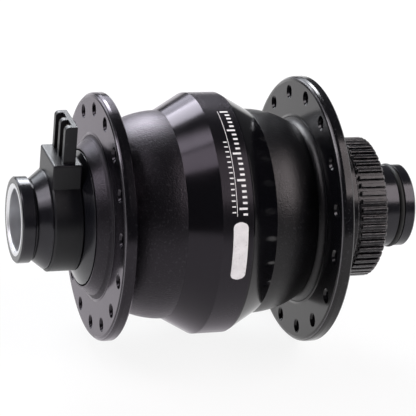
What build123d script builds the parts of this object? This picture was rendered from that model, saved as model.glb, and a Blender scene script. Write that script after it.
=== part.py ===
from build123d import *
import math
import os

# Hub dynamo for a front wheel. Lengths are millimetres.
# X runs along the axle, from the connector side to the brake rotor side.
# Z points up, the way the connector points. The origin is on the axle line, midway between the end faces.

# Whole hub
over_locknut_width = 100.0
thru_axle_bore_radius = 7.5
running_gap = 0.35
cut_overrun = 1.0
cut_skim = 0.1
half_turn = 180.0
full_turn = 360.0
edge_break = 0.35
rim_chamfer = 0.5
rim_slope_width = 0.6
rim_slope_height = 0.14

# Axle: its walls round the bore, and the collar behind the left bearing
axle_end_wall = 1.2
axle_body_wall = 2.5
axle_right_wall = 1.0
axle_mouth_chamfer = 0.5
axle_collar_height = 1.3
axle_collar_width = 2.4
axle_step_after_nut = 1.4

# Left stack on the axle, from the left end face inwards
left_cap_width = 3.3
left_cap_wall = 1.7
locknut_length = 3.83
locknut_groove_width = 0.55
locknut_groove_wall = 0.55
locknut_small_wall = 1.05
locknut_below_connector = 0.7
locknut_rim = 0.5
connector_width = 7.12
connector_wall = 2.7
dust_cover_length = 4.35

# Connector block and its terminal tower
block_width = 14.16
block_height = 6.5
block_corner = 0.5
tower_width = 11.4
tower_height = 9.1
tower_depth = 2.95
tower_setback = 2.57
tower_spine = 1.15
tower_rib = 1.6
tower_ribs = 3
tower_corner = 1.1
wire_room_depth = 2.4
wire_room_gap = 0.45

# Contact strips and lead wires
strip_side_gap = 0.35
strip_thickness = 0.5
strip_below_block_top = 2.9
strip_below_tower_top = 1.0
wire_radius = 0.5
wire_spacing = 1.1
wire_bend_radius = 0.8
wire_end_gap = 0.05
groove_width = 2.5
groove_depth = 1.3

# Left dust cover, a dished ring in the mouth of the left shell
cover_over_bearing = 0.2
cover_rim = 1.6
cover_dish = 1.7
cover_back_step = 0.8

# Left bearing, 20 x 32 x 7
left_bearing_height = 6.0
left_bearing_width = 7.0
left_ball_radius = 1.75
left_ball_count = 12

# Right bearing, 17 x 26 x 5
right_bearing_height = 4.5
right_bearing_width = 5.0
right_ball_radius = 1.2
right_ball_count = 14

# Shares of a bearing's radial height and width, and the play round its balls
ball_play = 0.04
race_land_share = 0.66
cage_width_share = 0.68
cage_height_share = 0.34
seal_thickness_share = 0.09
seal_inset_share = 0.04
seal_lip_share = 0.2

# Generator: stator on the axle, left of the middle, and magnets in the shell
stator_offset = 3.5
left_spacer_wall = 1.5
stator_height = 11.4
stator_width = 14.0
claw_plate_thickness = 2.0
claws_per_plate = 14
claw_thickness = 1.8
claw_root_width = 4.0
claw_tip_width = 2.4
claw_tip_gap = 0.6
claw_arm_depth = 1.6
core_wall = 3.0
bobbin_wall = 0.8
bobbin_clearance = 0.6
coil_cheek_margin = 0.5
stator_nut_wall = 4.0
stator_nut_width = 4.0
stator_nut_slots = 4
stator_nut_slot_width = 3.0
stator_nut_slot_depth = 1.6
magnet_thickness = 2.3
magnet_gap = 0.3
flux_ring_wall = 2.0
flux_ring_recess = 0.2

# Left shell: boss, flange, barrel, cone and band
boss_lip = 2.5
boss_mouth_gap = 0.38
boss_edge_wall = 0.37
boss_root_rise = 2.05
boss_root_height = 0.75
boss_root_fillet = 1.3
left_flange_setback = 0.7
left_flange_thickness = 3.0
left_barrel_drop = 3.55
barrel_fillet = 1.6
left_cone_before_stator = 3.85
left_cone_drop = 4.15
band_wall = 2.45
band_half_width = 3.7
shell_wall = 1.95
shell_lip_wall = 1.5
bearing_lip_height = 1.7
spigot_length = 2.95
spigot_wall = 1.1
ledge_overhang = 0.15

# Right shell: cone, barrel, flange and brake spline
right_cone_after_stator = 4.2
right_cone_drop = 4.28
right_barrel_drop = 3.42
right_flange_setback = 1.9
right_flange_thickness = 3.05
shell_edge = 0.5
spline_collar_end = 1.0
spline_undercut = 0.8
spline_projection = 8.5
spline_tooth_height = 0.95
spline_teeth = 52
spline_tip_share = 0.42
spline_root_share = 0.62
spline_chamfer = 0.45
spline_wall = 1.85
lockring_bore_over_bearing = 1.7

# Spoke holes, between the barrel's root and the flange's rim
spokes_per_flange = 16
left_spoke_clearance = 4.35
right_spoke_clearance = 7.4
flange_margin = 3.85
spoke_hole_radius = 1.3
countersink_depth = 0.5
left_first_spoke_angle = 10.6

# Right spacer and right end cap
right_spacer_wall = 2.0
right_cap_length = 19.0
right_cap_wall = 1.8
right_cap_hub_wall = 3.5
right_cap_shield_gap = 0.4
right_cap_shield_thickness = 1.2
right_cap_shield_step = 0.8
oring_groove_setback = 2.7
oring_groove_width = 1.7
oring_groove_depth = 1.1
oring_radius = 0.7

# Stations along the axle, worked out from the stack
left_end = -over_locknut_width / 2
right_end = over_locknut_width / 2
left_cap_end = left_end + left_cap_width
connector_left = left_cap_end + locknut_length
connector_right = connector_left + connector_width
left_bearing_left = connector_right + dust_cover_length
left_bearing_right = left_bearing_left + left_bearing_width
collar_right = left_bearing_right + axle_collar_width
stator_left = -stator_offset - stator_width / 2
stator_right = -stator_offset + stator_width / 2
stator_nut_right = stator_right + stator_nut_width
axle_step = stator_nut_right + axle_step_after_nut
right_bearing_right = right_end - right_cap_length
right_bearing_left = right_bearing_right - right_bearing_width

# Stations of the shells
boss_left = left_bearing_left - boss_lip
left_flange_left = left_bearing_left + left_flange_setback
left_flange_right = left_flange_left + left_flange_thickness
band_left = -stator_offset - band_half_width
band_right = -stator_offset + band_half_width
left_cone_left = stator_left - left_cone_before_stator
right_cone_right = stator_right + right_cone_after_stator
right_flange_right = right_bearing_left - right_flange_setback
right_flange_left = right_flange_right - right_flange_thickness
spline_right = right_bearing_right + spline_projection
spline_collar_right = right_bearing_right + spline_collar_end
spline_left = spline_collar_right + spline_undercut
flux_left = stator_left - flux_ring_recess
flux_right = stator_right + flux_ring_recess

# Radii of the axle and what sits on it, worked out from the bore
axle_end_radius = thru_axle_bore_radius + axle_end_wall
axle_body_radius = thru_axle_bore_radius + axle_body_wall
axle_right_radius = thru_axle_bore_radius + axle_right_wall
axle_collar_radius = axle_body_radius + axle_collar_height
left_cap_radius = axle_end_radius + left_cap_wall
locknut_groove_radius = axle_end_radius + locknut_groove_wall
locknut_small_radius = axle_end_radius + locknut_small_wall
connector_radius = axle_body_radius + connector_wall
locknut_large_radius = connector_radius - locknut_below_connector
left_bearing_outer_radius = axle_body_radius + left_bearing_height
right_bearing_outer_radius = axle_right_radius + right_bearing_height
cover_radius = left_bearing_outer_radius + cover_over_bearing
right_cap_radius = axle_right_radius + right_cap_wall
right_cap_hub_radius = axle_right_radius + right_cap_hub_wall

# Heights of the connector, its tower and the wires
block_top = axle_body_radius + block_height
tower_top = block_top + tower_height
rib_step = (tower_width - tower_rib) / (tower_ribs - 1)
strip_width = rib_step - tower_rib - 2 * strip_side_gap
wire_room_width = rib_step + 2 * wire_radius + 2 * wire_room_gap
groove_floor = axle_body_radius - groove_depth
wire_height = groove_floor + wire_radius

# Radii of the generator's rings
stator_radius = axle_body_radius + stator_height
stator_nut_radius = axle_body_radius + stator_nut_wall
magnet_inner_radius = stator_radius + running_gap
flux_inner_radius = magnet_inner_radius + magnet_thickness
flux_outer_radius = flux_inner_radius + flux_ring_wall
spigot_radius = flux_outer_radius + spigot_wall
ledge_radius = flux_inner_radius + ledge_overhang
core_radius = axle_body_radius + core_wall
claw_inner_radius = stator_radius - claw_thickness
bobbin_radius = claw_inner_radius - bobbin_clearance

# Radii of the shells
band_radius = spigot_radius + band_wall
left_barrel_radius = band_radius - left_cone_drop
left_barrel_root_radius = left_barrel_radius - left_barrel_drop
right_barrel_radius = band_radius - right_cone_drop
right_barrel_root_radius = right_barrel_radius - right_barrel_drop
left_spoke_radius = left_barrel_root_radius + left_spoke_clearance
right_spoke_radius = right_barrel_root_radius + right_spoke_clearance
left_flange_radius = left_spoke_radius + flange_margin
right_flange_radius = right_spoke_radius + flange_margin
boss_mouth_radius = cover_radius + boss_mouth_gap
boss_edge_radius = boss_mouth_radius + boss_edge_wall
boss_root_radius = boss_edge_radius + boss_root_rise
lockring_bore_radius = right_bearing_outer_radius + lockring_bore_over_bearing
spline_root_radius = lockring_bore_radius + spline_wall
spline_tip_radius = spline_root_radius + spline_tooth_height
right_cap_shield_radius = lockring_bore_radius - right_cap_shield_gap

# Angle from one spoke hole to the next, and the half step between the flanges
spoke_step = full_turn / spokes_per_flange
right_first_spoke_angle = left_first_spoke_angle + spoke_step / 2


# A closed outline of (x, radius) points turned about the axle line
def turned(*points):
    return revolve(make_face(Polyline(*points, close=True)), Axis.X)


# A ring between two radii and two stations
def ring(left, right, inner, outer):
    return turned((left, inner), (right, inner), (right, outer), (left, outer))


# A ring whose outer edges are broken
def edged_ring(left, right, inner, outer, edge=edge_break):
    return turned(
        (left, inner),
        (right, inner),
        (right, outer - edge),
        (right - edge, outer),
        (left + edge, outer),
        (left, outer - edge),
    )


# Copies of a shape round the axle line, the first at the top plus the start angle
def around_axle(shape, count, start_angle=0.0):
    copies = []
    for index in range(count):
        copies.append(shape.rotate(Axis.X, start_angle + index * full_turn / count))
    return copies


# Half way along the arc that leaves the crown level and drops to the root
def dome_middle(crown, root):
    run = root[0] - crown[0]
    drop = crown[1] - root[1]
    arc_radius = (run**2 + drop**2) / (2 * drop)
    half_angle = math.atan2(abs(run), arc_radius - drop) / 2
    middle_run = math.copysign(arc_radius * math.sin(half_angle), run)
    return (crown[0] + middle_run, crown[1] - arc_radius * (1 - math.cos(half_angle)))


# Half way round a fillet that leaves the barrel and rises into the flange
def fillet_middle(low, high):
    corner = (high[0], low[1])
    share = 1 - math.sqrt(0.5)
    return (
        corner[0] + (low[0] - corner[0]) * share,
        corner[1] + (high[1] - corner[1]) * share,
    )


def axle_tube():
    inner = thru_axle_bore_radius
    tube = turned(
        (left_end, inner + axle_mouth_chamfer),
        (left_end + axle_mouth_chamfer, inner),
        (right_end - axle_mouth_chamfer, inner),
        (right_end, inner + axle_mouth_chamfer),
        (right_end, axle_right_radius),
        (axle_step, axle_right_radius),
        (axle_step, axle_body_radius),
        (collar_right, axle_body_radius),
        (collar_right, axle_collar_radius),
        (left_bearing_right, axle_collar_radius),
        (left_bearing_right, axle_body_radius),
        (connector_left, axle_body_radius),
        (connector_left, axle_end_radius),
        (left_end, axle_end_radius),
    )
    groove_height = axle_collar_radius + cut_overrun - groove_floor
    groove = Pos((wire_start_x() + wire_end_x()) / 2, 0, groove_floor + groove_height / 2) * Box(
        wire_end_x() - wire_start_x() + wire_room_depth,
        groove_width,
        groove_height,
    )
    return tube - groove


# The lead wires leave the terminals here, and reach the coil there
def wire_start_x():
    return connector_left + tower_setback + tower_depth - tower_spine - strip_thickness / 2


def wire_end_x():
    return stator_left + claw_plate_thickness + wire_radius + bobbin_wall / 2


def left_end_cap():
    return edged_ring(left_end, left_cap_end, axle_end_radius, left_cap_radius)


# Locknut with a groove behind the cap and a cone that flares to the connector
def left_locknut():
    groove_end = left_cap_end + locknut_groove_width
    return turned(
        (left_cap_end, axle_end_radius),
        (connector_left, axle_end_radius),
        (connector_left, locknut_large_radius),
        (connector_left - locknut_rim, locknut_large_radius),
        (groove_end, locknut_small_radius),
        (groove_end, locknut_groove_radius),
        (left_cap_end, locknut_groove_radius),
    )


def tower_left():
    return connector_left + tower_setback


def tower_right():
    return tower_left() + tower_depth


# Outline of one upright plate of the tower, rounded at its outer top corner
def tower_plate(width, left):
    foot = connector_radius
    outline = Polyline(
        (left, foot),
        (tower_right(), foot),
        (tower_right(), tower_top),
        (left, tower_top),
        close=True,
    )
    plate = extrude(Plane.XZ * make_face(outline), width / 2, both=True)
    return plate


def connector_body():
    middle = (connector_left + connector_right) / 2
    barrel = edged_ring(connector_left, connector_right, axle_body_radius, connector_radius)
    block = Pos(middle, 0, block_top / 2) * Box(connector_width, block_width, block_top)
    floor_edges = block.faces().sort_by(Axis.Z)[0].edges()
    block = fillet(block.edges() - floor_edges, block_corner)
    block -= ring(left_end, right_end, 0, axle_body_radius)
    body = barrel + block
    spine_left = tower_right() - tower_spine
    spine = tower_plate(tower_width, spine_left)
    body += spine
    for index in range(tower_ribs):
        rib = tower_plate(tower_rib, tower_left())
        outer_top = rib.edges().filter_by(Axis.Y).group_by(Axis.Z)[-1].sort_by(Axis.X)[0]
        rib = fillet(outer_top, tower_corner)
        place = (index - (tower_ribs - 1) / 2) * rib_step
        body += Pos(0, place, 0) * rib
    room_top = block_top - strip_below_block_top
    room_height = room_top - groove_floor
    room = Pos(wire_start_x(), 0, groove_floor + room_height / 2) * Box(
        wire_room_depth, wire_room_width, room_height
    )
    body -= room
    for side in (-1, 1):
        body -= Pos(wire_start_x(), side * rib_step / 2, (room_top + block_top) / 2) * Box(
            strip_thickness, strip_width, block_top - room_top + cut_overrun
        )
    return body


# One flat contact in each slot of the tower, against the spine
def contact_strips():
    low = block_top - strip_below_block_top
    high = tower_top - strip_below_tower_top
    strips = []
    for side in (-1, 1):
        strip = Pos(wire_start_x(), side * rib_step / 2, (low + high) / 2) * Box(
            strip_thickness, strip_width, high - low
        )
        strips.append(strip)
    return strips


# Two wires from the contacts, along the groove in the axle, up to the coil
def lead_wires():
    wires = []
    top = block_top - strip_below_block_top
    for side in (-1, 1):
        outer = side * rib_step / 2
        inner = side * wire_spacing / 2
        coil_floor = core_radius + bobbin_wall
        route = FilletPolyline(
            (wire_start_x(), outer, top),
            (wire_start_x(), outer, top - wire_bend_radius),
            (wire_start_x(), inner, axle_body_radius + wire_bend_radius),
            (wire_start_x(), inner, wire_height),
            (wire_end_x(), inner, wire_height),
            (wire_end_x(), inner, coil_floor - wire_end_gap),
            radius=wire_bend_radius / 2,
        )
        section = Plane(origin=route @ 0, z_dir=route % 0) * Circle(wire_radius)
        wires.append(sweep(section, path=route))
    return wires


# Dished cover that closes the mouth of the left shell and touches the inner race
def left_dust_cover():
    rim_left = connector_right + cover_dish
    rim_right = rim_left + cover_rim
    back = left_bearing_left - cover_back_step
    return turned(
        (connector_right, axle_body_radius),
        (left_bearing_left, axle_body_radius),
        (left_bearing_left, left_race().inner_land),
        (back, left_race().inner_land),
        (rim_right, cover_radius - cover_rim),
        (rim_right, cover_radius),
        (rim_left, cover_radius),
        (connector_right, connector_radius),
    )


# Sizes of a cartridge bearing, worked out from its bore, outside, width and balls
class Bearing:
    def __init__(self, left, width, bore, outside, ball_radius, ball_count):
        self.left = left
        self.right = left + width
        self.middle = left + width / 2
        self.width = width
        self.bore = bore
        self.outside = outside
        self.ball_radius = ball_radius
        self.ball_count = ball_count
        self.pitch = (bore + outside) / 2
        self.groove = ball_radius + ball_play
        land = ball_radius * (1 - race_land_share)
        self.inner_land = self.pitch - land
        self.outer_land = self.pitch + land
        self.cage_half_width = width * cage_width_share / 2
        self.cage_half_height = ball_radius * cage_height_share
        self.seal_thickness = width * seal_thickness_share
        self.seal_inset = width * seal_inset_share
        self.seal_inner = self.inner_land + max(running_gap, land * seal_lip_share)


def left_race():
    return Bearing(
        left_bearing_left,
        left_bearing_width,
        axle_body_radius,
        left_bearing_outer_radius,
        left_ball_radius,
        left_ball_count,
    )


def right_race():
    return Bearing(
        right_bearing_left,
        right_bearing_width,
        axle_right_radius,
        right_bearing_outer_radius,
        right_ball_radius,
        right_ball_count,
    )


# The ball track that both races share
def ball_track(bearing):
    section = Plane.XY * Pos(bearing.middle, bearing.pitch) * Circle(bearing.groove)
    return revolve(section, Axis.X)


def inner_race(bearing):
    body = ring(bearing.left, bearing.right, bearing.bore, bearing.inner_land)
    return body - ball_track(bearing)


def outer_race(bearing):
    body = ring(bearing.left, bearing.right, bearing.outer_land, bearing.outside)
    return body - ball_track(bearing)


def bearing_seals(bearing):
    seals = []
    for side in (-1, 1):
        outer_face = bearing.middle + side * (bearing.width / 2 - bearing.seal_inset)
        inner_face = outer_face - side * bearing.seal_thickness
        low = min(outer_face, inner_face)
        high = max(outer_face, inner_face)
        seals.append(ring(low, high, bearing.seal_inner, bearing.outer_land))
    return seals


def bearing_balls(bearing):
    ball = Pos(bearing.middle, 0, bearing.pitch) * Sphere(bearing.ball_radius)
    return around_axle(ball, bearing.ball_count)


# A ring between the races, with a round pocket for each ball
def bearing_cage(bearing):
    half = bearing.cage_half_width
    body = ring(
        bearing.middle - half,
        bearing.middle + half,
        bearing.pitch - bearing.cage_half_height,
        bearing.pitch + bearing.cage_half_height,
    )
    pocket = Pos(bearing.middle, 0, bearing.pitch) * Cylinder(
        bearing.ball_radius + ball_play, 2 * bearing.groove
    )
    return body - around_axle(pocket, bearing.ball_count)


def left_spacer():
    return ring(
        collar_right, stator_left, axle_body_radius, axle_body_radius + left_spacer_wall
    )


# One claw, tapering from its root at the plate to its tip, and the arm that carries it
def claw_blank(root_x, direction):
    tip_x = root_x + direction * (stator_width - claw_plate_thickness - claw_tip_gap)
    plate_x = root_x
    arm_x = root_x + direction * claw_plate_thickness
    outline = Polyline(
        (plate_x, -claw_root_width / 2),
        (arm_x, -claw_root_width / 2),
        (tip_x, -claw_tip_width / 2),
        (tip_x, claw_tip_width / 2),
        (arm_x, claw_root_width / 2),
        (plate_x, claw_root_width / 2),
        close=True,
    )
    height = claw_thickness + claw_arm_depth + cut_overrun
    low = claw_inner_radius - claw_arm_depth
    return extrude(Pos(0, 0, low) * make_face(outline), height)


# A star of claws bent over the coil, from one side
def claw_plate(root_x, direction, start_angle):
    low = min(root_x, root_x + direction * claw_plate_thickness)
    high = max(root_x, root_x + direction * claw_plate_thickness)
    disc = ring(low, high, axle_body_radius, claw_inner_radius - claw_arm_depth / 2)
    blanks = around_axle(claw_blank(root_x, direction), claws_per_plate, start_angle)
    sleeve = ring(stator_left, stator_right, claw_inner_radius, stator_radius)
    arms = ring(low, high, claw_inner_radius - claw_arm_depth, stator_radius)
    claws = []
    for blank in blanks:
        claws.append(blank & (sleeve + arms))
    return disc + claws


def left_claw_plate():
    return claw_plate(stator_left, 1, 0.0)


def right_claw_plate():
    return claw_plate(stator_right, -1, half_turn / claws_per_plate)


# Notch at the left end of the core and bobbin, where the lead wires come up
def lead_notch():
    length = wire_end_x() + wire_radius + bobbin_wall / 2 - stator_left
    height = core_radius + bobbin_wall - groove_floor
    return Pos(stator_left + length / 2, 0, groove_floor + height / 2) * Box(
        length, groove_width, height
    )


def stator_core():
    left = stator_left + claw_plate_thickness
    right = stator_right - claw_plate_thickness
    return ring(left, right, axle_body_radius, core_radius) - lead_notch()


def coil_bobbin():
    left = stator_left + claw_plate_thickness
    right = stator_right - claw_plate_thickness
    hub = core_radius + bobbin_wall
    spool = turned(
        (left, core_radius),
        (right, core_radius),
        (right, bobbin_radius),
        (right - bobbin_wall, bobbin_radius),
        (right - bobbin_wall, hub),
        (left + bobbin_wall, hub),
        (left + bobbin_wall, bobbin_radius),
        (left, bobbin_radius),
    )
    return spool - lead_notch()


def coil_winding():
    left = stator_left + claw_plate_thickness + bobbin_wall
    right = stator_right - claw_plate_thickness - bobbin_wall
    return ring(left, right, core_radius + bobbin_wall, bobbin_radius - coil_cheek_margin)


# Round nut with four spanner slots that clamps the stator on the axle
def stator_nut():
    body = edged_ring(stator_right, stator_nut_right, axle_body_radius, stator_nut_radius)
    slot_middle = stator_nut_radius - stator_nut_slot_depth / 2 + cut_overrun / 2
    slot = Pos((stator_right + stator_nut_right) / 2, 0, slot_middle) * Box(
        stator_nut_width + cut_overrun,
        stator_nut_slot_width,
        stator_nut_slot_depth + cut_overrun,
    )
    return body - around_axle(slot, stator_nut_slots)


def flux_ring():
    return ring(flux_left, flux_right, flux_inner_radius, flux_outer_radius)


# Flat-sided magnets round the inside of the flux ring, one for each claw
def magnet_ring():
    magnet_count = 2 * claws_per_plate
    sleeve = ring(stator_left, stator_right, magnet_inner_radius, flux_inner_radius)
    width = full_turn / magnet_count
    gap_angle = math.degrees(magnet_gap / flux_inner_radius)
    blank = revolve(
        Plane.XY * make_face(
            Polyline(
                (stator_left, magnet_inner_radius),
                (stator_right, magnet_inner_radius),
                (stator_right, flux_inner_radius),
                (stator_left, flux_inner_radius),
                close=True,
            )
        ),
        Axis.X,
        width - gap_angle,
    )
    return around_axle(blank, magnet_count, gap_angle / 2)


# Countersunk spoke holes through a flange, as one cutter
def spoke_cutters(left, right, spoke_radius, start_angle):
    mouth = spoke_hole_radius + countersink_depth
    deep = countersink_depth
    outline = Polyline(
        (left - cut_overrun, 0),
        (right + cut_overrun, 0),
        (right + cut_overrun, mouth + cut_overrun),
        (right - deep, spoke_hole_radius),
        (left + deep, spoke_hole_radius),
        (left - cut_overrun, mouth + cut_overrun),
        close=True,
    )
    hole = Pos(0, 0, spoke_radius) * revolve(make_face(outline), Axis.X)
    return around_axle(hole, spokes_per_flange, start_angle)


# Left edge of a flange's rim: a chamfer, then a slight slope up to the full radius
def flange_rim(left, radius):
    low = radius - rim_slope_height
    return [
        (left, low - rim_chamfer),
        (left + rim_chamfer, low),
        (left + rim_chamfer + rim_slope_width, radius),
    ]


def left_shell():
    fillet_x = left_flange_right + barrel_fillet
    crown = (left_cone_left, left_barrel_radius)
    root = (fillet_x, left_barrel_root_radius)
    rise = (left_flange_right, left_barrel_root_radius + barrel_fillet)
    boss_root_x = left_flange_left - boss_root_height
    boss_rise = (left_flange_left, boss_root_radius + boss_root_fillet)
    boss_root = (boss_root_x, boss_root_radius)
    lip_right = left_bearing_right + shell_lip_wall
    lip_radius = left_bearing_outer_radius - bearing_lip_height
    inner_crown = (left_cone_left, left_barrel_radius - shell_wall)
    inner_root = (lip_right, left_barrel_root_radius - shell_wall)
    ledge_left = left_cone_left + ledge_radius - inner_crown[1]
    spigot_left = band_right - spigot_length
    edge = edge_break
    outline = [
        Polyline(
            (boss_left, boss_mouth_radius),
            (boss_left, boss_edge_radius),
            boss_root,
        ),
        ThreePointArc(boss_root, fillet_middle(boss_root, boss_rise), boss_rise),
        Polyline(
            boss_rise,
            *flange_rim(left_flange_left, left_flange_radius),
            (left_flange_right - edge, left_flange_radius),
            (left_flange_right, left_flange_radius - edge),
            rise,
        ),
        ThreePointArc(rise, fillet_middle(root, rise), root),
        ThreePointArc(root, dome_middle(crown, root), crown),
        Polyline(
            crown,
            (band_left, band_radius),
            (band_right, band_radius),
            (band_right, spigot_radius),
            (spigot_left, spigot_radius),
            (spigot_left, flux_outer_radius),
            (flux_left, flux_outer_radius),
            (flux_left, ledge_radius),
            (ledge_left, ledge_radius),
            inner_crown,
        ),
        ThreePointArc(inner_crown, dome_middle(inner_crown, inner_root), inner_root),
        Polyline(
            inner_root,
            (lip_right, lip_radius),
            (left_bearing_right, lip_radius),
            (left_bearing_right, left_bearing_outer_radius),
            (left_bearing_left, left_bearing_outer_radius),
            (left_bearing_left, boss_mouth_radius),
            (boss_left, boss_mouth_radius),
        ),
    ]
    body = revolve(make_face(outline), Axis.X)
    return body - spoke_cutters(
        left_flange_left, left_flange_right, left_spoke_radius, left_first_spoke_angle
    )


# The band that the brake rotor slides on, with one gap for each tooth
def brake_spline():
    pitch = full_turn / spline_teeth
    root_half = pitch * spline_root_share / 2
    tip_half = pitch * spline_tip_share / 2
    points = []
    for index in range(spline_teeth):
        angle = index * pitch
        for radius, turn in (
            (spline_root_radius, -root_half),
            (spline_tip_radius, -tip_half),
            (spline_tip_radius, tip_half),
            (spline_root_radius, root_half),
        ):
            reach = math.radians(angle + turn)
            points.append((radius * math.sin(reach), radius * math.cos(reach)))
    outline = make_face(Polyline(*points, close=True))
    blank = extrude(Plane.YZ.offset(spline_left) * outline, spline_right - spline_left)
    envelope = turned(
        (spline_left, 0),
        (spline_right, 0),
        (spline_right, spline_tip_radius - spline_chamfer),
        (spline_right - spline_chamfer, spline_tip_radius + cut_skim),
        (spline_left, spline_tip_radius + cut_skim),
    )
    return (blank & envelope) - ring(
        spline_left - cut_overrun, spline_right + cut_overrun, 0, lockring_bore_radius
    )


def right_shell():
    crown = (right_cone_right, right_barrel_radius)
    root = (right_flange_left - barrel_fillet, right_barrel_root_radius)
    rise = (right_flange_left, right_barrel_root_radius + barrel_fillet)
    ledge_right = right_cone_right - (ledge_radius - right_barrel_radius + shell_wall)
    inner_crown = (right_cone_right, right_barrel_radius - shell_wall)
    inner_root = (root[0], root[1] - shell_wall)
    lip_left = right_bearing_left - shell_lip_wall
    lip_radius = right_bearing_outer_radius - bearing_lip_height
    seat_right = right_bearing_right + running_gap
    recess_radius = right_bearing_outer_radius + shell_lip_wall
    recess_x = right_flange_right - edge_break
    edge = edge_break
    outline = [
        Polyline(
            (band_right - spigot_length, flux_outer_radius),
            (band_right - spigot_length, spigot_radius),
            (band_right, spigot_radius),
            (band_right, band_radius - shell_edge / 2),
            (band_right + shell_edge, band_radius - shell_edge / 2),
            crown,
        ),
        ThreePointArc(crown, dome_middle(crown, root), root),
        ThreePointArc(root, fillet_middle(root, rise), rise),
        Polyline(
            rise,
            *flange_rim(right_flange_left, right_flange_radius),
            (right_flange_right - edge, right_flange_radius),
            (right_flange_right, right_flange_radius - edge),
            (right_flange_right, spline_tip_radius),
            (spline_collar_right - edge, spline_tip_radius),
            (spline_collar_right, spline_tip_radius - edge),
            (spline_collar_right, spline_root_radius),
            (spline_left, spline_root_radius),
            (spline_left, lockring_bore_radius),
            (seat_right, lockring_bore_radius),
            (seat_right, right_bearing_outer_radius),
            (right_bearing_left, right_bearing_outer_radius),
            (right_bearing_left, lip_radius),
            (lip_left, lip_radius),
            (lip_left, recess_radius),
            (recess_x, recess_radius),
            inner_root,
        ),
        ThreePointArc(inner_root, dome_middle(inner_crown, inner_root), inner_crown),
        Polyline(
            inner_crown,
            (ledge_right, ledge_radius),
            (flux_right, ledge_radius),
            (flux_right, flux_outer_radius),
            (band_right - spigot_length, flux_outer_radius),
        ),
    ]
    body = revolve(make_face(outline), Axis.X)
    body -= spoke_cutters(
        right_flange_left, right_flange_right, right_spoke_radius, right_first_spoke_angle
    )
    return body + brake_spline()


def right_spacer():
    return ring(
        axle_step, right_bearing_left, axle_right_radius, axle_right_radius + right_spacer_wall
    )


def oring_left():
    return right_end - oring_groove_setback - oring_groove_width


# Cap with a shield in front of the bearing, a hub in the lockring bore and a nose
def right_end_cap():
    shield_left = right_bearing_right + right_cap_shield_step
    shield_right = shield_left + right_cap_shield_thickness
    groove_left = oring_left()
    groove_right = groove_left + oring_groove_width
    groove_radius = right_cap_radius - oring_groove_depth
    edge = edge_break
    return turned(
        (right_bearing_right, axle_right_radius),
        (right_end, axle_right_radius),
        (right_end, right_cap_radius - edge),
        (right_end - edge, right_cap_radius),
        (groove_right, right_cap_radius),
        (groove_right, groove_radius),
        (groove_left, groove_radius),
        (groove_left, right_cap_radius),
        (spline_right, right_cap_radius),
        (spline_right, right_cap_hub_radius),
        (shield_right, right_cap_hub_radius),
        (shield_right, right_cap_shield_radius),
        (shield_left, right_cap_shield_radius),
        (shield_left, right_race().inner_land),
        (right_bearing_right, right_race().inner_land),
    )


def cap_oring():
    middle = oring_left() + oring_groove_width / 2
    centre = right_cap_radius - oring_groove_depth + oring_radius
    section = Plane.XY * Pos(middle, centre) * Circle(oring_radius)
    return revolve(section, Axis.X)


def nodes():
    return {
        "axle_tube": axle_tube(),
        "left_end_cap": left_end_cap(),
        "left_locknut": left_locknut(),
        "connector_body": connector_body(),
        "contact_strips": contact_strips(),
        "lead_wires": lead_wires(),
        "left_dust_cover": left_dust_cover(),
        "left_inner_race": inner_race(left_race()),
        "left_outer_race": outer_race(left_race()),
        "left_bearing_seals": bearing_seals(left_race()),
        "left_balls": bearing_balls(left_race()),
        "left_ball_cage": bearing_cage(left_race()),
        "left_spacer": left_spacer(),
        "left_claw_plate": left_claw_plate(),
        "right_claw_plate": right_claw_plate(),
        "stator_core": stator_core(),
        "coil_bobbin": coil_bobbin(),
        "coil_winding": coil_winding(),
        "stator_nut": stator_nut(),
        "magnet_ring": magnet_ring(),
        "flux_ring": flux_ring(),
        "left_shell": left_shell(),
        "right_shell": right_shell(),
        "right_spacer": right_spacer(),
        "right_inner_race": inner_race(right_race()),
        "right_outer_race": outer_race(right_race()),
        "right_bearing_seals": bearing_seals(right_race()),
        "right_balls": bearing_balls(right_race()),
        "right_ball_cage": bearing_cage(right_race()),
        "right_end_cap": right_end_cap(),
        "cap_oring": cap_oring(),
    }


os.makedirs("parts", exist_ok=True)
for name, shape in nodes().items():
    solids = shape if isinstance(shape, list) else shape.solids()
    export_step(Compound(children=list(solids)), "parts/" + name + ".step")
    print(name, len(solids))
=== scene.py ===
import bmesh
import bpy
import math
from mathutils import Matrix, Vector


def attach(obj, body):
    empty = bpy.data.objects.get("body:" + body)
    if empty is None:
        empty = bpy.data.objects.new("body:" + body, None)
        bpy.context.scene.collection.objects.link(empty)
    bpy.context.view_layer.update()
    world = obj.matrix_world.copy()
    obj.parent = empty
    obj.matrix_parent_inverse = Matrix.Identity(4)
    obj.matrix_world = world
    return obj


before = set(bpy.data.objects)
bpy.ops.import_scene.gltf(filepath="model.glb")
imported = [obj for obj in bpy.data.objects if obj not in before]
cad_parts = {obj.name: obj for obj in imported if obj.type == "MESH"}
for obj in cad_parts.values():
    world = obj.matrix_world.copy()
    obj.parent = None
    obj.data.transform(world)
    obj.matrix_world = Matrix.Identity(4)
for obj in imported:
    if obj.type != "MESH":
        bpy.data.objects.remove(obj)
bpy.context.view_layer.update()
print("hub frame loaded:", len(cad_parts), "parts")

millimetre = 0.001


# Small helpers for shader trees. A value is another node's socket, or the setting itself.
def wire(tree, value, socket):
    if isinstance(value, bpy.types.NodeSocket):
        tree.links.new(value, socket)
    else:
        socket.default_value = value


def calc(tree, operation, *values, clamp=False):
    node = tree.nodes.new("ShaderNodeMath")
    node.operation = operation
    node.use_clamp = clamp
    for index, value in enumerate(values):
        wire(tree, value, node.inputs[index])
    return node.outputs[0]


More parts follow.
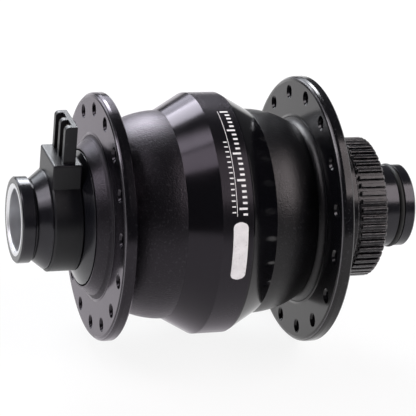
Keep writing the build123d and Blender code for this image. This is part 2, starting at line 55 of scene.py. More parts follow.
def mixColour(tree, factor, low, high):
    node = tree.nodes.new("ShaderNodeMix")
    node.data_type = "RGBA"
    wire(tree, factor, node.inputs[0])
    wire(tree, low, node.inputs[6])
    wire(tree, high, node.inputs[7])
    return node.outputs[2]


def mixValue(tree, factor, low, high):
    node = tree.nodes.new("ShaderNodeMix")
    wire(tree, factor, node.inputs[0])
    wire(tree, low, node.inputs[2])
    wire(tree, high, node.inputs[3])
    return node.outputs[0]


def rescale(tree, value, fromLow, fromHigh, toLow=0.0, toHigh=1.0):
    node = tree.nodes.new("ShaderNodeMapRange")
    for index, setting in enumerate((value, fromLow, fromHigh, toLow, toHigh)):
        wire(tree, setting, node.inputs[index])
    return node.outputs[0]


def noise(tree, vector, scale, detail=2.0, roughness=0.5, flat=False):
    # flat noise varies along one length only
    node = tree.nodes.new("ShaderNodeTexNoise")
    if flat:
        node.noise_dimensions = "1D"
        wire(tree, vector, node.inputs["W"])
    else:
        wire(tree, vector, node.inputs["Vector"])
    wire(tree, scale, node.inputs["Scale"])
    node.inputs["Detail"].default_value = detail
    node.inputs["Roughness"].default_value = roughness
    return node.outputs["Fac"]


def newGroup(name, inputs, outputs):
    tree = bpy.data.node_groups.new(name, "ShaderNodeTree")
    for label, value in inputs.items():
        socket = tree.interface.new_socket(
            name=label, in_out="INPUT", socket_type="NodeSocketFloat"
        )
        socket.default_value = value
    for label in outputs:
        kind = "NodeSocketVector" if label == "Normal" else "NodeSocketFloat"
        tree.interface.new_socket(name=label, in_out="OUTPUT", socket_type=kind)
    entry = tree.nodes.new("NodeGroupInput")
    leave = tree.nodes.new("NodeGroupOutput")
    return tree, entry.outputs, leave.inputs


def useGroup(tree, group, **settings):
    node = tree.nodes.new("ShaderNodeGroup")
    node.node_tree = group
    for label, value in settings.items():
        wire(tree, value, node.inputs[label])
    return node.outputs


# Shared effects, one shader group each. What a material sets is an input of its group;
# what stays the same everywhere stands in the dictionary above the group.
def makeAxlePlace():
    # where a point lies: millimetres along the axle and out from it
    tree, entry, leave = newGroup("axlePlace", {}, ("Along", "Radius"))
    coords = tree.nodes.new("ShaderNodeTexCoord")
    split = tree.nodes.new("ShaderNodeSeparateXYZ")
    tree.links.new(coords.outputs["Object"], split.inputs[0])
    x, y, z = split.outputs
    wire(tree, calc(tree, "MULTIPLY", x, 1 / millimetre), leave["Along"])
    squares = calc(tree, "ADD", calc(tree, "MULTIPLY", y, y), calc(tree, "MULTIPLY", z, z))
    wire(tree, calc(tree, "MULTIPLY", calc(tree, "SQRT", squares), 1 / millimetre), leave["Radius"])
    return tree


def makeZone():
    # 1 between two values, with a soft border
    inputs = {"Value": 0.0, "Low": 0.0, "High": 1.0, "Border": 0.05}
    tree, entry, leave = newGroup("zone", inputs, ("Mask",))
    above = calc(tree, "SUBTRACT", entry["Value"], entry["Low"])
    below = calc(tree, "SUBTRACT", entry["High"], entry["Value"])
    above = calc(tree, "ADD", calc(tree, "DIVIDE", above, entry["Border"]), 0.5, clamp=True)
    below = calc(tree, "ADD", calc(tree, "DIVIDE", below, entry["Border"]), 0.5, clamp=True)
    wire(tree, calc(tree, "MULTIPLY", above, below), leave["Mask"])
    return tree


grainLook = {
    "detail": 3.0,
    "roughness": 0.6,
    "speckScale": 0.7,  # specks against grains
}


def makeGrain():
    # bead-blasted or moulded grain: its relief, and where single grains catch light
    tree, entry, leave = newGroup("grain", {"Size": 0.3, "Sparkle": 0.66}, ("Height", "Speck"))
    coords = tree.nodes.new("ShaderNodeTexCoord").outputs["Object"]
    scale = calc(tree, "DIVIDE", 1 / millimetre, entry["Size"])
    fine = noise(tree, coords, scale, grainLook["detail"], grainLook["roughness"])
    wire(tree, fine, leave["Height"])
    loose = noise(tree, coords, calc(tree, "MULTIPLY", scale, grainLook["speckScale"]), detail=1.0)
    wire(tree, calc(tree, "GREATER_THAN", loose, entry["Sparkle"]), leave["Speck"])
    return tree


turnedLinesLook = {
    "radiusShare": 0.83,  # so the rings go on over a flat face
    "toneScale": 0.13,  # bands of tone against single rings
}


def makeTurnedLines():
    # fine rings left by the lathe, along the axle and across its faces
    tree, entry, leave = newGroup("turnedLines", {"Spacing": 0.12}, ("Height", "Tone"))
    place = useGroup(tree, groups["axlePlace"])
    scale = calc(tree, "DIVIDE", 1.0, entry["Spacing"])
    across = calc(tree, "MULTIPLY", place["Radius"], turnedLinesLook["radiusShare"])
    reach = calc(tree, "ADD", place["Along"], across)
    wire(tree, noise(tree, reach, scale, detail=1.0, flat=True), leave["Height"])
    broad = calc(tree, "MULTIPLY", scale, turnedLinesLook["toneScale"])
    wire(tree, noise(tree, reach, broad, detail=2.0, flat=True), leave["Tone"])
    return tree


handlingLook = {
    "detail": 4.0,
    "roughness": 0.62,
    "smudgeRange": (0.35, 0.7),
    "dustScale": 9.0,  # dust against smudges
    "dustRange": (0.62, 0.78),
    "dustPlaces": (0.45, 0.6),  # the smudges that hold dust
}


def makeHandling():
    # smudges and a little dust, larger than the grain
    tree, entry, leave = newGroup("handling", {"Patch": 7.0}, ("Smudge", "Dust"))
    coords = tree.nodes.new("ShaderNodeTexCoord").outputs["Object"]
    scale = calc(tree, "DIVIDE", 1 / millimetre, entry["Patch"])
    broad = noise(tree, coords, scale, handlingLook["detail"], handlingLook["roughness"])
    wire(tree, rescale(tree, broad, *handlingLook["smudgeRange"]), leave["Smudge"])
    fine = noise(tree, coords, calc(tree, "MULTIPLY", scale, handlingLook["dustScale"]))
    specks = rescale(tree, fine, *handlingLook["dustRange"])
    places = rescale(tree, broad, *handlingLook["dustPlaces"])
    wire(tree, calc(tree, "MULTIPLY", specks, places), leave["Dust"])
    return tree


edgeWearAndHighlightLook = {
    "samples": 4,
    "agreement": (0.995, 0.8),  # of both normals: no wear at the first value, all at the second
    "patchRange": (0.35, 0.6),
    "patchWear": (0.35, 1.0),
}


def makeEdgeWearAndHighlight():
    # edges look rounded, and are rubbed in patches where the rounded normal leaves the true one;
    # the finishes paint this mask pale, as wear and as a painted highlight along the edges
    tree, entry, leave = newGroup("edgeWearAndHighlight", {"Reach": 0.25, "Patch": 1.2}, ("Mask", "Normal"))
    bevel = tree.nodes.new("ShaderNodeBevel")
    bevel.samples = edgeWearAndHighlightLook["samples"]
    wire(tree, calc(tree, "MULTIPLY", entry["Reach"], millimetre), bevel.inputs["Radius"])
    tree.links.new(bevel.outputs[0], leave["Normal"])
    true = tree.nodes.new("ShaderNodeNewGeometry").outputs["Normal"]
    dot = tree.nodes.new("ShaderNodeVectorMath")
    dot.operation = "DOT_PRODUCT"
    tree.links.new(bevel.outputs[0], dot.inputs[0])
    tree.links.new(true, dot.inputs[1])
    near = rescale(tree, dot.outputs["Value"], *edgeWearAndHighlightLook["agreement"])
    coords = tree.nodes.new("ShaderNodeTexCoord").outputs["Object"]
    uneven = noise(tree, coords, calc(tree, "DIVIDE", 1 / millimetre, entry["Patch"]), detail=3.0)
    patches = rescale(tree, uneven, *edgeWearAndHighlightLook["patchRange"], *edgeWearAndHighlightLook["patchWear"])
    wire(tree, calc(tree, "MULTIPLY", near, patches), leave["Mask"])
    return tree


groups = {"axlePlace": makeAxlePlace()}
groups["zone"] = makeZone()
groups["grain"] = makeGrain()
groups["turnedLines"] = makeTurnedLines()
groups["handling"] = makeHandling()
groups["edgeWearAndHighlight"] = makeEdgeWearAndHighlight()
print("shared shader groups built:", ", ".join(groups))


def newMaterial(name, **fixed):
    # fixed settings stand on the shader itself
    material = bpy.data.materials.new(name)
    material.use_nodes = True
    shader = material.node_tree.nodes["Principled BSDF"]
    for label, value in fixed.items():
        shader.inputs[label.replace("_", " ")].default_value = value
    return material, material.node_tree, shader


def bumpOf(tree, height, depth, shader, normal=None):
    # depth in millimetres
    bump = tree.nodes.new("ShaderNodeBump")
    if normal:
        tree.links.new(normal, bump.inputs["Normal"])
    bump.inputs["Distance"].default_value = depth * millimetre
    wire(tree, height, bump.inputs["Height"])
    tree.links.new(bump.outputs[0], shader.inputs["Normal"])


def dress(name, *nodeNames):
    for nodeName in nodeNames:
        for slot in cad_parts[nodeName].material_slots:
            slot.material = finishes[name]


finishes = {}


# Anodised shells: blasted barrels with painted glints on single grains, smooth flanges with a pale
# line painted on the rim as its highlight and a dull seam at the root, polished cones, a plain
# band, edges worn pale with a painted highlight, and a brake spline rubbed pale with painted
# highlights on its teeth. Pairs of numbers run along the axle, and seam outwards from it; all
# lengths are in millimetres.
def shellFinish(name, look):
    material, tree, shader = newMaterial(name, IOR=look["ior"], Specular_Tint=look["sheenTint"])
    shader.inputs["Metallic"].default_value = look["metal"]
    place = useGroup(tree, groups["axlePlace"])
    grain = useGroup(tree, groups["grain"], Size=look["grainSize"], Sparkle=look["sparkle"])
    lines = useGroup(tree, groups["turnedLines"], Spacing=look["lineSpacing"])
    marks = useGroup(tree, groups["handling"], Patch=look["smudgeSize"])

    def zone(stations):
        low, high = stations
        return useGroup(tree, groups["zone"], Value=place["Along"], Low=low, High=high)["Mask"]

    def beyond(radius):
        return calc(tree, "GREATER_THAN", place["Radius"], radius)

    outer = beyond(look["skinRadius"])
    cone = calc(tree, "MULTIPLY", zone(look["cone"]), outer)
    band = calc(tree, "MULTIPLY", zone(look["band"]), outer)
    seamFrom, seamTo = look["seam"]
    flange = calc(tree, "MULTIPLY", zone(look["flange"]), beyond(seamFrom))
    seam = calc(tree, "MULTIPLY", flange, calc(tree, "LESS_THAN", place["Radius"], seamTo))
    spline = zone(look["spline"])
    # the rim, and on it the thin line that gets a painted highlight
    rim = calc(tree, "MULTIPLY", flange, beyond(look["rimRadius"] + look["rimStart"]))
    pastRimHighlight = beyond(look["rimRadius"] + look["paintedRimHighlight"])
    paintedRimHighlight = calc(tree, "MULTIPLY", rim, calc(tree, "SUBTRACT", 1.0, pastRimHighlight))
    reach = mixValue(tree, spline, look["edgeReach"], look["splineReach"])
    wear = useGroup(tree, groups["edgeWearAndHighlight"], Reach=reach)
    # on the spline the worn edges are much paler: rubbed metal, and a painted highlight on each
    # tooth
    strength = mixValue(tree, spline, look["edgeStrength"], look["splineWearAndHighlight"])
    # worn edges get a pale colour: wear, and a painted highlight along the edges
    worn = calc(tree, "MULTIPLY", wear["Mask"], strength)
    worn = calc(tree, "MULTIPLY", worn, calc(tree, "SUBTRACT", 1.0, rim))
    turnedZone = calc(tree, "ADD", cone, band, clamp=True)
    blasted = calc(tree, "SUBTRACT", 1.0, turnedZone)

    colour = mixColour(tree, cone, look["blastColour"], look["coneColour"])
    colour = mixColour(tree, band, colour, look["bandColour"])
    # painted glints: single grains on the blasted parts are coloured paler, in place of the light
    # they catch
    glintsHere = calc(tree, "MULTIPLY", blasted, look["glintShare"])
    specks = calc(tree, "MULTIPLY", grain["Speck"], glintsHere)
    colour = mixColour(tree, specks, colour, look["glintColour"])
    dust = calc(tree, "MULTIPLY", marks["Dust"], look["dustShare"])
    colour = mixColour(tree, dust, colour, look["dustColour"])
    # the colour of worn edges, which also serves as a painted edge highlight; paler on the spline's
    # teeth
    wornColour = mixColour(tree, spline, look["edgeWearAndHighlightColour"], look["splineWearAndHighlightColour"])
    colour = mixColour(tree, worn, colour, wornColour)
    # painted highlight: a pale line on the flange rim in place of the light its chamfer catches
    colour = mixColour(tree, paintedRimHighlight, colour, look["rimHighlightColour"])
    wire(tree, colour, shader.inputs["Base Color"])

    rough = mixValue(tree, flange, look["blastRoughness"], look["flangeRoughness"])
    rough = mixValue(tree, cone, rough, look["coneRoughness"])
    rough = mixValue(tree, band, rough, look["bandRoughness"])
    rough = mixValue(tree, spline, rough, look["splineRoughness"])
    rough = mixValue(tree, seam, rough, look["seamRoughness"])
    rough = calc(tree, "ADD", rough, calc(tree, "MULTIPLY", marks["Smudge"], look["smudge"]))
    wire(tree, rough, shader.inputs["Roughness"])

    smooth = calc(tree, "ADD", flange, spline, clamp=True)
    barrel = calc(tree, "SUBTRACT", blasted, smooth, clamp=True)
    grainHere = calc(tree, "MULTIPLY", barrel, look["grainDepth"])
    relief = calc(tree, "MULTIPLY", grain["Height"], grainHere)
    # the flange's face falls away before its rim, and again at its root
    fall = look["fallWidth"]
    roll = rescale(tree, place["Radius"], look["rimRadius"] - fall, look["rimRadius"])
    root = rescale(tree, place["Radius"], look["rootRadius"], look["rootRadius"] + fall)
    falls = calc(tree, "MULTIPLY", calc(tree, "ADD", roll, root), flange)
    relief = calc(tree, "SUBTRACT", relief, calc(tree, "MULTIPLY", falls, fall * look["fallSlope"]))
    ringDepth = calc(tree, "MULTIPLY", turnedZone, look["lineDepth"])
    rings = calc(tree, "MULTIPLY", lines["Height"], ringDepth)
    bumpOf(tree, calc(tree, "ADD", relief, rings), 1.0, shader, wear["Normal"])
    finishes[name] = material


leftShellLook = {
    "ior": 1.5,
    "metal": 0.35,
    "sheenTint": (0.97, 0.86, 0.99, 1.0),
    "cone": (-14.35, -7.2),
    "band": (-7.2, 0.2),
    "flange": (-34.2, -27.2),
    "rimRadius": 29.46,
    "rimStart": 0.06,  # the pale line painted as the rim's highlight lies from here to the next value, beyond rimRadius
    "paintedRimHighlight": 0.26,
    "rimHighlightColour": (0.1, 0.098, 0.104, 1.0),
    "rootRadius": 20.0,  # where the face meets the boss
    "fallWidth": 0.55,
    "fallSlope": 0.53,
    "seam": (18.9, 19.9),
    "seamRoughness": 0.5,
    "spline": (90.0, 91.0),  # off the part: this shell has none
    "splineReach": 0.45,
    "splineRoughness": 0.17,
    "splineWearAndHighlight": 0.45,
    "splineWearAndHighlightColour": (0.5, 0.48, 0.49, 1.0),
    "skinRadius": 24.6,  # what lies deeper is the inside
    "blastColour": (0.003, 0.003, 0.004, 1.0),
    "coneColour": (0.0028, 0.0028, 0.0038, 1.0),
    "bandColour": (0.0045, 0.0045, 0.0058, 1.0),
    "glintColour": (0.024, 0.024, 0.027, 1.0),
    "glintShare": 0.5,
    "dustColour": (0.024, 0.024, 0.026, 1.0),
    "dustShare": 0.12,
    "edgeWearAndHighlightColour": (0.11, 0.11, 0.12, 1.0),
    "edgeStrength": 0.35,
    "edgeReach": 0.12,
    "blastRoughness": 0.29,
    "flangeRoughness": 0.14,
    "coneRoughness": 0.13,
    "bandRoughness": 0.24,
    "smudge": 0.05,
    "smudgeSize": 9.0,
    "grainSize": 0.4,
    "grainDepth": 0.09,
    "sparkle": 0.64,
    "lineSpacing": 0.14,
    "lineDepth": 0.0012,
}
rightShellLook = dict(
    leftShellLook,
    cone=(0.2, 7.7),
    band=(-3.2, 0.2),
    flange=(17.6, 25.2),
    rimRadius=32.51,
    rootRadius=23.3,
    fallSlope=0.47,
    seam=(23.0, 23.3),
    spline=(25.2, 40.0),
    coneRoughness=0.07,
    ior=1.4,
    metal=0.1,
    sheenTint=(1.0, 0.96, 0.97, 1.0),
)
shellFinish("leftShellAnodised", leftShellLook)
shellFinish("rightShellAnodised", rightShellLook)
dress("leftShellAnodised", "left_shell")
dress("rightShellAnodised", "right_shell")
print("shells dressed")


# Turned parts: caps, locknut, dust cover, axle, bearing rings, stator and magnets
def turnedFinish(name, look):
    material, tree, shader = newMaterial(name, IOR=look["ior"], Specular_Tint=look["sheenTint"])
    lines = useGroup(tree, groups["turnedLines"], Spacing=look["lineSpacing"])
    marks = useGroup(tree, groups["handling"], Patch=look["smudgeSize"])
    wear = useGroup(tree, groups["edgeWearAndHighlight"], Reach=look["edgeReach"])
    colour = mixColour(tree, lines["Tone"], look["colour"], look["paleColour"])
    dust = calc(tree, "MULTIPLY", marks["Dust"], look["dustShare"])
    colour = mixColour(tree, dust, colour, look["dustColour"])
    # pale worn edges: wear, and a painted highlight along the edges
    worn = calc(tree, "MULTIPLY", wear["Mask"], look["edgeStrength"])
    colour = mixColour(tree, worn, colour, look["edgeWearAndHighlightColour"])
    wire(tree, colour, shader.inputs["Base Color"])
    shader.inputs["Metallic"].default_value = look["metal"]
    smudge = calc(tree, "MULTIPLY", marks["Smudge"], look["smudge"])
    rough = calc(tree, "ADD", look["roughness"], smudge)
    wire(tree, rough, shader.inputs["Roughness"])
    bumpOf(tree, lines["Height"], look["lineDepth"], shader, wear["Normal"])
    finishes[name] = material


capLook = {
    "ior": 1.45,
    "sheenTint": (0.96, 0.93, 1.0, 1.0),
    "metal": 0.0,
    "colour": (0.004, 0.004, 0.0056, 1.0),
    "paleColour": (0.007, 0.007, 0.0095, 1.0),
    "dustColour": (0.06, 0.06, 0.065, 1.0),
    "dustShare": 0.15,
    "edgeWearAndHighlightColour": (0.16, 0.16, 0.17, 1.0),
    "edgeStrength": 0.4,
    "edgeReach": 0.15,
    "roughness": 0.18,
    "smudge": 0.06,
    "smudgeSize": 5.0,
    "lineSpacing": 0.1,
    "lineDepth": 0.0015,
}
coverLook = dict(
    capLook,
    colour=(0.005, 0.005, 0.0066, 1.0),
    roughness=0.15,
    lineSpacing=0.16,
)
bareLook = {
    "ior": 1.45,
    "sheenTint": (1.0, 1.0, 1.0, 1.0),
    "metal": 1.0,
    "colour": (0.7, 0.7, 0.72, 1.0),
    "paleColour": (0.86, 0.86, 0.88, 1.0),
    "dustColour": (0.4, 0.4, 0.41, 1.0),
    "dustShare": 0.15,
    "edgeWearAndHighlightColour": (0.95, 0.95, 0.96, 1.0),
    "edgeStrength": 0.6,
    "edgeReach": 0.2,
    "roughness": 0.33,
    "smudge": 0.12,
    "smudgeSize": 4.0,
    "lineSpacing": 0.2,
    "lineDepth": 0.004,
}
steelLook = dict(
    bareLook,
    colour=(0.5, 0.51, 0.53, 1.0),
    paleColour=(0.62, 0.63, 0.66, 1.0),
    roughness=0.2,
    lineSpacing=0.08,
)
ballLook = dict(
    steelLook,
    colour=(0.66, 0.67, 0.7, 1.0),
    paleColour=(0.74, 0.75, 0.78, 1.0),
    roughness=0.06,
    lineDepth=0.0002,
)
statorLook = dict(
    steelLook,
    colour=(0.36, 0.36, 0.35, 1.0),
    paleColour=(0.5, 0.5, 0.48, 1.0),
    roughness=0.38,
    lineSpacing=0.5,
    lineDepth=0.02,
)
magnetLook = dict(
    steelLook,
    colour=(0.46, 0.47, 0.49, 1.0),
    paleColour=(0.6, 0.61, 0.63, 1.0),
    roughness=0.24,
    lineSpacing=0.9,
)
turnedFinish("capAnodised", capLook)
turnedFinish("coverAnodised", coverLook)
turnedFinish("bareAxle", bareLook)
turnedFinish("groundSteel", steelLook)
turnedFinish("polishedBalls", ballLook)
turnedFinish("statorIron", statorLook)
turnedFinish("nickelMagnet", magnetLook)
dress("capAnodised", "left_end_cap", "left_locknut", "right_end_cap")
dress("coverAnodised", "left_dust_cover")
dress("bareAxle", "axle_tube", "left_spacer", "right_spacer")
dress("groundSteel", "left_inner_race", "left_outer_race", "right_inner_race", "right_outer_race")
dress("groundSteel", "stator_nut")
dress("polishedBalls", "left_balls", "right_balls")
dress("statorIron", "left_claw_plate", "right_claw_plate", "stator_core", "flux_ring")
dress("nickelMagnet", "magnet_ring")
print("turned parts dressed")


# Moulded parts: connector, seals, cages, bobbin
def mouldedFinish(name, look):
    material, tree, shader = newMaterial(name, IOR=look["ior"])
    grain = useGroup(tree, groups["grain"], Size=look["grainSize"])
    marks = useGroup(tree, groups["handling"], Patch=look["smudgeSize"])
    wear = useGroup(tree, groups["edgeWearAndHighlight"], Reach=look["edgeReach"])
    colour = mixColour(tree, marks["Smudge"], look["colour"], look["paleColour"])
    dust = calc(tree, "MULTIPLY", marks["Dust"], look["dustShare"])
    colour = mixColour(tree, dust, colour, look["dustColour"])
    # pale worn edges: wear, and a painted highlight along the edges
    worn = calc(tree, "MULTIPLY", wear["Mask"], look["edgeStrength"])
    colour = mixColour(tree, worn, colour, look["edgeWearAndHighlightColour"])
    wire(tree, colour, shader.inputs["Base Color"])
    uneven = calc(tree, "MULTIPLY", grain["Height"], look["grainRoughness"])
    rough = calc(tree, "ADD", look["roughness"], uneven)
    wire(tree, rough, shader.inputs["Roughness"])
    bumpOf(tree, grain["Height"], look["grainDepth"], shader, wear["Normal"])
    finishes[name] = material


connectorLook = {
    "ior": 1.36,
    "colour": (0.0045, 0.0042, 0.0062, 1.0),
    "paleColour": (0.0065, 0.0062, 0.0088, 1.0),
    "dustColour": (0.09, 0.09, 0.092, 1.0),
    "dustShare": 0.16,
    "edgeWearAndHighlightColour": (0.12, 0.12, 0.125, 1.0),
    "edgeStrength": 0.3,
    "edgeReach": 0.18,
    "roughness": 0.3,
    "grainRoughness": 0.12,
    "grainSize": 0.25,
    "grainDepth": 0.012,
    "smudgeSize": 6.0,
}
rubberLook = dict(
    connectorLook,
    colour=(0.01, 0.01, 0.01, 1.0),
    paleColour=(0.015, 0.015, 0.015, 1.0),
    edgeStrength=0.1,
    roughness=0.5,
)
cageLook = dict(
    connectorLook,
    colour=(0.5, 0.44, 0.33, 1.0),
    paleColour=(0.57, 0.51, 0.4, 1.0),
    dustColour=(0.3, 0.27, 0.2, 1.0),
    edgeWearAndHighlightColour=(0.66, 0.6, 0.5, 1.0),
)
bobbinLook = dict(
    connectorLook,
    colour=(0.76, 0.75, 0.7, 1.0),
    paleColour=(0.83, 0.82, 0.78, 1.0),
    dustColour=(0.5, 0.48, 0.42, 1.0),
    edgeWearAndHighlightColour=(0.9, 0.9, 0.87, 1.0),
)
mouldedFinish("connectorNylon", connectorLook)
mouldedFinish("sealRubber", rubberLook)
mouldedFinish("cageNylon", cageLook)
mouldedFinish("bobbinNylon", bobbinLook)
dress("connectorNylon", "connector_body")
dress("sealRubber", "left_bearing_seals", "right_bearing_seals", "cap_oring")
dress("cageNylon", "left_ball_cage", "right_ball_cage")
dress("bobbinNylon", "coil_bobbin")
print("moulded parts dressed")


# Copper winding, lead wires and tinned contacts
def wireFinish(name, look):
    # turns of enamelled wire lie side by side along the axle
    material, tree, shader = newMaterial(name, Metallic=1.0, Coat_Roughness=look["enamelRoughness"])
    place = useGroup(tree, groups["axlePlace"])
    marks = useGroup(tree, groups["handling"], Patch=look["smudgeSize"])
    turns = calc(tree, "MULTIPLY", place["Along"], math.pi / look["wireAcross"])
    crown = calc(tree, "ABSOLUTE", calc(tree, "SINE", turns))
    colour = mixColour(tree, marks["Smudge"], look["colour"], look["paleColour"])
    # painted shade: the dips between turns are darkened
    gapShade = rescale(tree, crown, 0.0, look["gapWidth"], look["gapShadeShare"], 0.0)
    colour = mixColour(tree, gapShade, colour, look["gapShadeColour"])
    wire(tree, colour, shader.inputs["Base Color"])
    smudge = calc(tree, "MULTIPLY", marks["Smudge"], look["smudge"])
    wire(tree, calc(tree, "ADD", look["roughness"], smudge), shader.inputs["Roughness"])
    shader.inputs["Coat Weight"].default_value = look["enamel"]
    bumpOf(tree, crown, look["wireAcross"] / 2, shader)
    finishes[name] = material


windingLook = {
    "colour": (0.55, 0.22, 0.1, 1.0),
    "paleColour": (0.68, 0.3, 0.15, 1.0),
    "gapShadeColour": (0.12, 0.04, 0.02, 1.0),
    "gapWidth": 0.35,  # as a share of a turn's height
    "gapShadeShare": 0.7,
    "roughness": 0.28,
    "enamel": 0.6,
    "enamelRoughness": 0.12,
    "wireAcross": 0.5,
    "smudge": 0.1,
    "smudgeSize": 5.0,
}
contactLook = dict(
    windingLook,
    colour=(0.6, 0.55, 0.42, 1.0),
    paleColour=(0.72, 0.68, 0.58, 1.0),
    gapShadeColour=(0.5, 0.45, 0.33, 1.0),
    enamel=0.0,
    wireAcross=4.0,
)
wireFinish("enamelledCopper", windingLook)
wireFinish("tinnedContact", contactLook)
dress("enamelledCopper", "coil_winding", "lead_wires")
dress("tinnedContact", "contact_strips")
print("copper and contacts dressed")


# Printed marks on the band: a plain scale and a bare plaque. Lengths are in millimetres;
# from, to, pitch and thick are in degrees round the axle.
bandPrint = {
    "radius": 29.6,
    "inkHeight": 0.03,
    "stepDegrees": 0.6,
    "tallRow": {
        "middle": -2.2,
        "length": 2.0,
        "short": 1.1,
        "from": 12.0,
        "to": 67.0,
        "pitch": 2.6,
        "thick": 1.0,
        "tallEvery": 5,
    },
    "fineRow": {
        "middle": -4.5,
        "length": 0.9,
        "short": 0.9,
        "from": 32.0,
        "to": 68.0,
        "pitch": 2.6,
        "thick": 0.6,
        "tallEvery": 1,
    },
    "ringLine": {"middle": -3.75, "width": 0.12, "from": 12.0, "to": 68.0},
    "plaque": {
        "middle": -2.9,
        "width": 3.6,
        "from": 70.5,
        "to": 98.0,
        "corner": 1.5,
        "least": 0.02,  # width left at the very ends
    },
    "ior": 1.45,
    "colour": (0.86, 0.85, 0.85, 1.0),
    "fadedColour": (0.74, 0.73, 0.73, 1.0),
    "wornColour": (0.2, 0.2, 0.2, 1.0),
    "wornShare": 0.5,
    "roughness": (0.4, 0.6),
    "smudgeSize": 2.0,
    "grainSize": 0.2,
    "grainDepth": 0.006,
    "sparkle": 0.7,
}


def bandPoint(along, turn, radius):
    angle = math.radians(turn)
    return Vector((along, -radius * math.sin(angle), radius * math.cos(angle))) * millimetre


def inkPatch(mesh, middle, turnLow, turnHigh, widthAt):
    # a thin patch of ink that follows the band; widthAt gives its width at each turn
    radius = bandPrint["radius"]
    count = max(2, math.ceil((turnHigh - turnLow) / bandPrint["stepDegrees"]) + 1)
    rows = []
    for index in range(count):
        turn = turnLow + (turnHigh - turnLow) * index / (count - 1)
        half = widthAt(turn) / 2
        row = []
        for along, lift in ((-half, 0.0), (-half, 1.0), (half, 1.0), (half, 0.0)):
            place = bandPoint(middle + along, turn, radius + lift * bandPrint["inkHeight"])
            row.append(mesh.verts.new(place))
        rows.append(row)
    for low, high in zip(rows, rows[1:]):
        for side in range(3):
            mesh.faces.new((low[side], low[side + 1], high[side + 1], high[side]))
    mesh.faces.new(rows[0][::-1])
    mesh.faces.new(rows[-1])


def printBand():
    mesh = bmesh.new()
    for row in (bandPrint["tallRow"], bandPrint["fineRow"]):
        count = int((row["to"] - row["from"]) / row["pitch"]) + 1
        edge = row["middle"] + row["length"] / 2
        for index in range(count):
            turn = row["from"] + index * row["pitch"]
            length = row["length"] if index % row["tallEvery"] == 0 else row["short"]
            inkPatch(mesh, edge - length / 2, turn, turn + row["thick"], lambda place: length)
    line = bandPrint["ringLine"]
    inkPatch(mesh, line["middle"], line["from"], line["to"], lambda place: line["width"])
    plaque = bandPrint["plaque"]
    corner = plaque["corner"]

    def plaqueWidth(turn):
        # full width, less the two rounded corners near either end
        arc = math.radians(min(turn - plaque["from"], plaque["to"] - turn)) * bandPrint["radius"]
        short = max(0.0, corner - arc)
        inset = corner - math.sqrt(max(0.0, corner**2 - short**2))
        return plaque["width"] - 2 * inset + plaque["least"]

    inkPatch(mesh, plaque["middle"], plaque["from"], plaque["to"], plaqueWidth)
    data = bpy.data.meshes.new("bandMarks")
    mesh.normal_update()
    mesh.to_mesh(data)
    mesh.free()
    marks = bpy.data.objects.new("bandMarks", data)
    bpy.context.scene.collection.objects.link(marks)
    return marks


def inkFinish():
    material, tree, shader = newMaterial("bandInk", IOR=bandPrint["ior"])
    marks = useGroup(tree, groups["handling"], Patch=bandPrint["smudgeSize"])
    grain = useGroup(
        tree, groups["grain"], Size=bandPrint["grainSize"], Sparkle=bandPrint["sparkle"]
    )
    colour = mixColour(tree, marks["Smudge"], bandPrint["colour"], bandPrint["fadedColour"])
    worn = calc(tree, "MULTIPLY", grain["Speck"], bandPrint["wornShare"])
    colour = mixColour(tree, worn, colour, bandPrint["wornColour"])
    wire(tree, colour, shader.inputs["Base Color"])
    rough = rescale(tree, grain["Height"], 0.0, 1.0, *bandPrint["roughness"])
    wire(tree, rough, shader.inputs["Roughness"])
    bumpOf(tree, grain["Height"], bandPrint["grainDepth"], shader)
    return material


bandMarks = printBand()
bandMarks.data.materials.append(inkFinish())
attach(bandMarks, "hub_shell")
print("band marked")


# Floor, in millimetres
floorLook = {
    "height": -33.1,
    "halfSize": 4000.0,
    "colour": (0.9, 0.9, 0.905, 1.0),
    "shadeColour": (0.87, 0.87, 0.875, 1.0),
    "cloudScale": 3.0,
    "roughness": 0.8,
    "specular": 0.1,
    "ownWhite": 0.88,  # share of plain white in what the camera and reflections see
}


def layFloor():
    half = floorLook["halfSize"] * millimetre
    data = bpy.data.meshes.new("floor")
    corners = [(-half, -half, 0), (half, -half, 0), (half, half, 0), (-half, half, 0)]
    data.from_pydata(corners, [], [(0, 1, 2, 3)])
    floor = bpy.data.objects.new("floor", data)
    floor.location.z = floorLook["height"] * millimetre
    bpy.context.scene.collection.objects.link(floor)
    material, tree, shader = newMaterial(
        "paleFloor", Roughness=floorLook["roughness"], Specular_IOR_Level=floorLook["specular"]
    )
    coords = tree.nodes.new("ShaderNodeTexCoord").outputs["Object"]
    cloud = noise(tree, coords, floorLook["cloudScale"], detail=3.0)
    colour = mixColour(tree, cloud, floorLook["colour"], floorLook["shadeColour"])
    wire(tree, colour, shader.inputs["Base Color"])
    # the camera, reflections and clear parts see mostly plain white, so the shadow stays faint
    path = tree.nodes.new("ShaderNodeLightPath")
    seen = calc(tree, "ADD", path.outputs["Is Camera Ray"], path.outputs["Is Glossy Ray"])
    seen = calc(tree, "ADD", seen, path.outputs["Is Transmission Ray"], clamp=True)
    white = tree.nodes.new("ShaderNodeEmission")
    blend = tree.nodes.new("ShaderNodeMixShader")
    wire(tree, calc(tree, "MULTIPLY", seen, floorLook["ownWhite"]), blend.inputs[0])
    tree.links.new(shader.outputs[0], blend.inputs[1])
    tree.links.new(white.outputs[0], blend.inputs[2])
    tree.links.new(blend.outputs[0], tree.nodes["Material Output"].inputs["Surface"])
    data.materials.append(material)


layFloor()

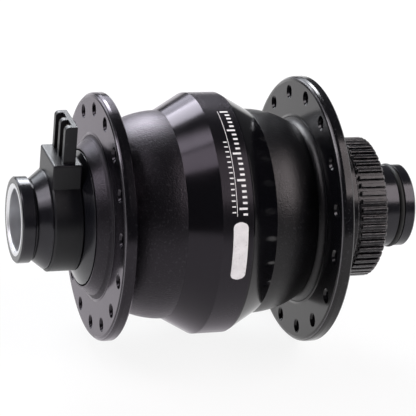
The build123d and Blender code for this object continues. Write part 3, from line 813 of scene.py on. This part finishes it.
# Six lamps: a soft key box behind with a brighter heart, a dimmer box low under it, two panels
# side by side up on the left, and a warm box up in front on the right. Toward points from the hub
# to the lamp. Width runs along the axle and height round it. Lengths are in metres.
lampLooks = {
    "keyBox": {
        "toward": (-0.07, 0.802, 0.592),
        "distance": 1.2,
        "width": 0.73,
        "height": 0.43,
        "level": 9.8,
        "colour": (0.93, 0.96, 1.0),
    },
    "keyHeart": {
        "toward": (0.04, 0.79, 0.612),
        "distance": 1.2,
        "width": 0.37,
        "height": 0.4,
        "level": 8.0,
        "colour": (0.96, 0.97, 1.0),
    },
    "lowBox": {
        "toward": (-0.2, 0.92, 0.34),
        "distance": 1.2,
        "width": 1.15,
        "height": 0.38,
        "level": 3.0,
        "colour": (0.9, 0.94, 1.0),
    },
    "leftPanel": {
        "toward": (-0.68, 0.24, 0.68),
        "distance": 1.2,
        "width": 0.72,
        "height": 0.44,
        "level": 5.2,
        "colour": (0.97, 0.95, 1.0),
    },
    "leftFrontPanel": {
        "toward": (-0.7, -0.08, 0.7),
        "distance": 1.2,
        "width": 0.72,
        "height": 0.4,
        "level": 3.4,
        "colour": (0.99, 0.95, 1.0),
    },
    "rightBox": {
        "toward": (0.6, -0.43, 0.67),
        "distance": 1.2,
        "width": 0.62,
        "height": 0.98,
        "level": 6.2,
        "colour": (1.0, 0.93, 0.93),
    },
}
worldLook = {
    "darkColour": (0.1, 0.1, 0.105, 1.0),
    "paleColour": (0.9, 0.9, 0.9, 1.0),
    "paleBelow": -0.02,  # sine of the angle above the horizon
    "darkAbove": 0.05,
}


def hangLamp(name, look):
    data = bpy.data.lights.new(name, "AREA")
    data.shape = "RECTANGLE"
    data.size = look["width"]
    data.size_y = look["height"]
    data.energy = look["level"] * math.pi * look["width"] * look["height"]
    data.color = look["colour"]
    lamp = bpy.data.objects.new(name, data)
    toward = Vector(look["toward"]).normalized()
    side = (Vector((1.0, 0.0, 0.0)) - toward.x * toward).normalized()
    turn = Matrix((side, toward.cross(side), toward)).transposed().to_4x4()
    lamp.matrix_world = Matrix.Translation(toward * look["distance"]) @ turn
    bpy.context.scene.collection.objects.link(lamp)


for lampName, lampLook in lampLooks.items():
    hangLamp(lampName, lampLook)


def paintWorld():
    # pale below the horizon, dark above it
    world = bpy.data.worlds.new("studio")
    bpy.context.scene.world = world
    world.use_nodes = True
    tree = world.node_tree
    split = tree.nodes.new("ShaderNodeSeparateXYZ")
    tree.links.new(tree.nodes.new("ShaderNodeTexCoord").outputs["Generated"], split.inputs[0])
    height = split.outputs[2]
    height = rescale(tree, height, worldLook["paleBelow"], worldLook["darkAbove"])
    colour = mixColour(tree, height, worldLook["paleColour"], worldLook["darkColour"])
    wire(tree, colour, tree.nodes["Background"].inputs["Color"])


paintWorld()
bpy.context.scene.view_settings.view_transform = "Standard"
print("floor and lights set")

# Camera, solved from the photograph: angles in degrees, places in metres
cameraLook = {
    "azimuth": -19.674,
    "elevation": 23.224,
    "roll": 5.778,
    "distance": 0.46203,
    "target": (-0.001386, 0.0, 0.001123),
    "lens": 162.4,
    "sensor": 36.0,
    "nearest": 0.01,
}


def standCamera():
    azimuth = math.radians(cameraLook["azimuth"])
    elevation = math.radians(cameraLook["elevation"])
    roll = math.radians(cameraLook["roll"])
    back = Vector((
        math.sin(azimuth) * math.cos(elevation),
        -math.cos(azimuth) * math.cos(elevation),
        math.sin(elevation),
    ))
    level = Vector((math.cos(azimuth), math.sin(azimuth), 0.0))
    above = back.cross(level)
    right = math.cos(roll) * level + math.sin(roll) * above
    up = -math.sin(roll) * level + math.cos(roll) * above
    data = bpy.data.cameras.new("photoCamera")
    data.lens = cameraLook["lens"]
    data.sensor_width = cameraLook["sensor"]
    data.clip_start = cameraLook["nearest"]
    camera = bpy.data.objects.new("photoCamera", data)
    turn = Matrix((right, up, back)).transposed().to_4x4()
    spot = Vector(cameraLook["target"]) + back * cameraLook["distance"]
    camera.matrix_world = Matrix.Translation(spot) @ turn
    bpy.context.scene.collection.objects.link(camera)
    bpy.context.scene.camera = camera


standCamera()
print("camera set")
